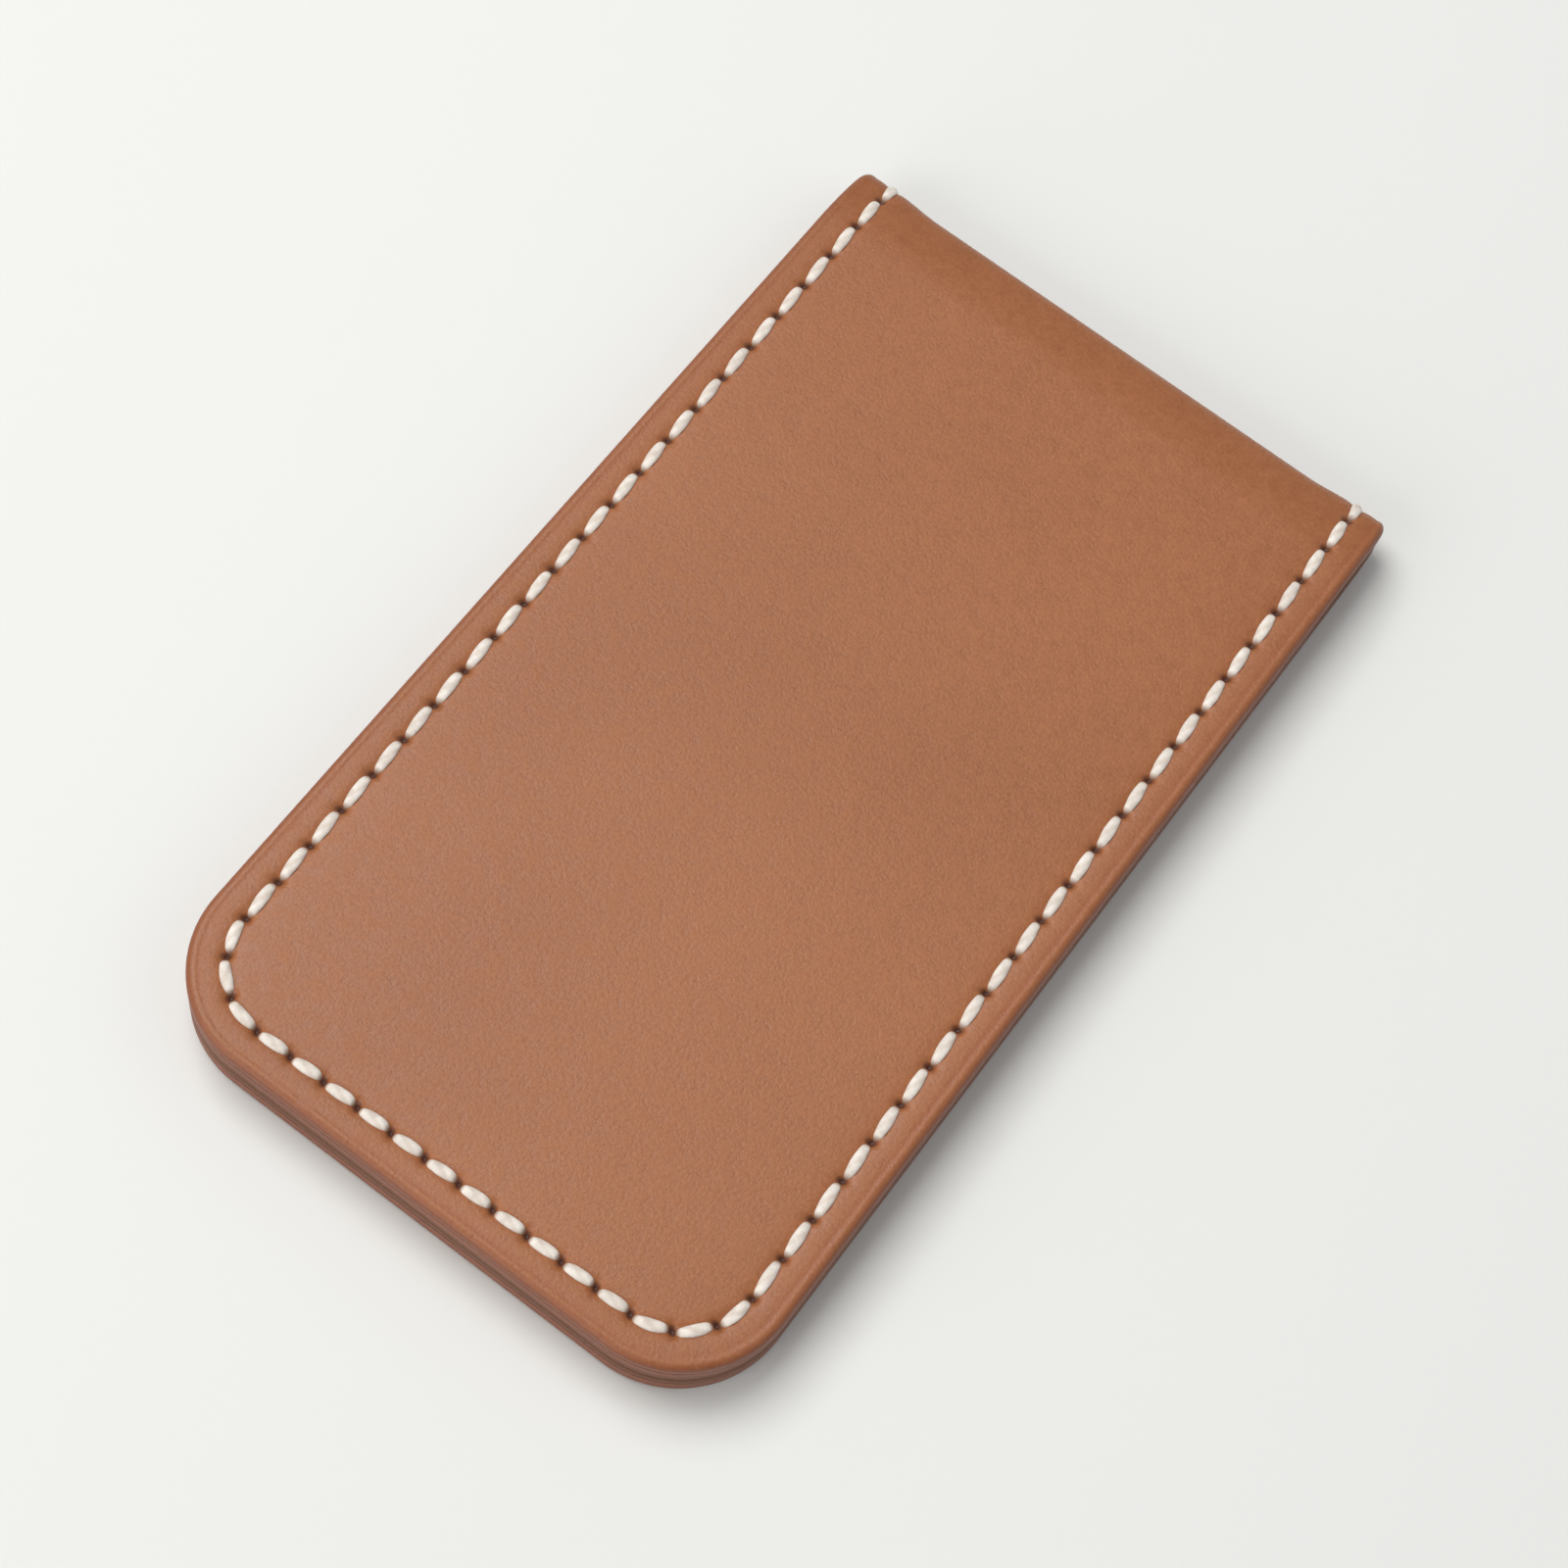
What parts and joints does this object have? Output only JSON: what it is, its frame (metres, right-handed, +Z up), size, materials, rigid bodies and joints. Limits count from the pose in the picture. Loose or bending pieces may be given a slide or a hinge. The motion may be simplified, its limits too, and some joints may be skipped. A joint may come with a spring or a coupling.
{
  "type": "money clip",
  "caption": "Fold-over money clip of stitched leather: two magnet flaps joined by a soft fold that opens flat to take folded notes.",
  "frame": {"origin": "on the table, under the middle of the closed clip", "axes": "+X across the strip, +Y towards the fold, +Z up from the back flap to the front flap"},
  "size_m": [0.043, 0.076, 0.0048],
  "materials": {
    "cover_leather": "tan smooth leather, matte-satin",
    "lining_leather": "natural tan leather, matte",
    "filler_board": "bonded leather, burnished at the edge",
    "thread": "waxed ivory thread",
    "magnet": "nickel plate"
  },
  "bodies": {
    "back_flap": {"back_cover": "cover_leather", "back_filler": "filler_board", "back_lining": "lining_leather", "back_magnet_left": "magnet", "back_magnet_right": "magnet", "back_needle_thread": "thread", "back_bobbin_thread": "thread"},
    "fold_lower": {"fold_cover_lower": "cover_leather", "fold_lining_lower": "lining_leather", "fold_needle_thread_lower": "thread", "fold_bobbin_thread_lower": "thread"},
    "fold_tip_lower": {"fold_cover_tip_lower": "cover_leather", "fold_lining_tip_lower": "lining_leather", "fold_needle_thread_tip_lower": "thread", "fold_bobbin_thread_tip_lower": "thread"},
    "fold_tip_upper": {"fold_cover_tip_upper": "cover_leather", "fold_lining_tip_upper": "lining_leather", "fold_needle_thread_tip_upper": "thread", "fold_bobbin_thread_tip_upper": "thread"},
    "fold_upper": {"fold_cover_upper": "cover_leather", "fold_lining_upper": "lining_leather", "fold_needle_thread_upper": "thread", "fold_bobbin_thread_upper": "thread"},
    "front_flap": {"front_cover": "cover_leather", "front_filler": "filler_board", "front_lining": "lining_leather", "front_magnet_left": "magnet", "front_magnet_right": "magnet", "front_needle_thread": "thread", "front_bobbin_thread": "thread"}
  },
  "joints": [
    {"name": "fold", "type": "hinge", "parent": "back_flap", "child": "front_flap", "pos_m": [0, 0.03795, 0.0024], "axis": [-1, 0, 0], "range_deg": [0, 180]},
    {"name": "bend_lower", "type": "hinge", "parent": "back_flap", "child": "fold_lower", "pos_m": [0, 0.03594, 0.00111], "axis": [-1, 0, 0], "range_deg": [0, 45]},
    {"name": "bend_tip_lower", "type": "hinge", "parent": "fold_lower", "child": "fold_tip_lower", "pos_m": [0, 0.03728, 0.0019], "axis": [-1, 0, 0], "range_deg": [0, 45]},
    {"name": "bend_upper", "type": "hinge", "parent": "front_flap", "child": "fold_upper", "pos_m": [0, 0.03594, 0.00369], "axis": [1, 0, 0], "range_deg": [0, 45]},
    {"name": "bend_tip_upper", "type": "hinge", "parent": "fold_upper", "child": "fold_tip_upper", "pos_m": [0, 0.03728, 0.0029], "axis": [1, 0, 0], "range_deg": [0, 45]}
  ],
  "couplings": [
    {"joint": "bend_lower", "follows": "fold", "ratio": 0.25},
    {"joint": "bend_tip_lower", "follows": "fold", "ratio": 0.25},
    {"joint": "bend_upper", "follows": "fold", "ratio": 0.25},
    {"joint": "bend_tip_upper", "follows": "fold", "ratio": 0.25}
  ]
}
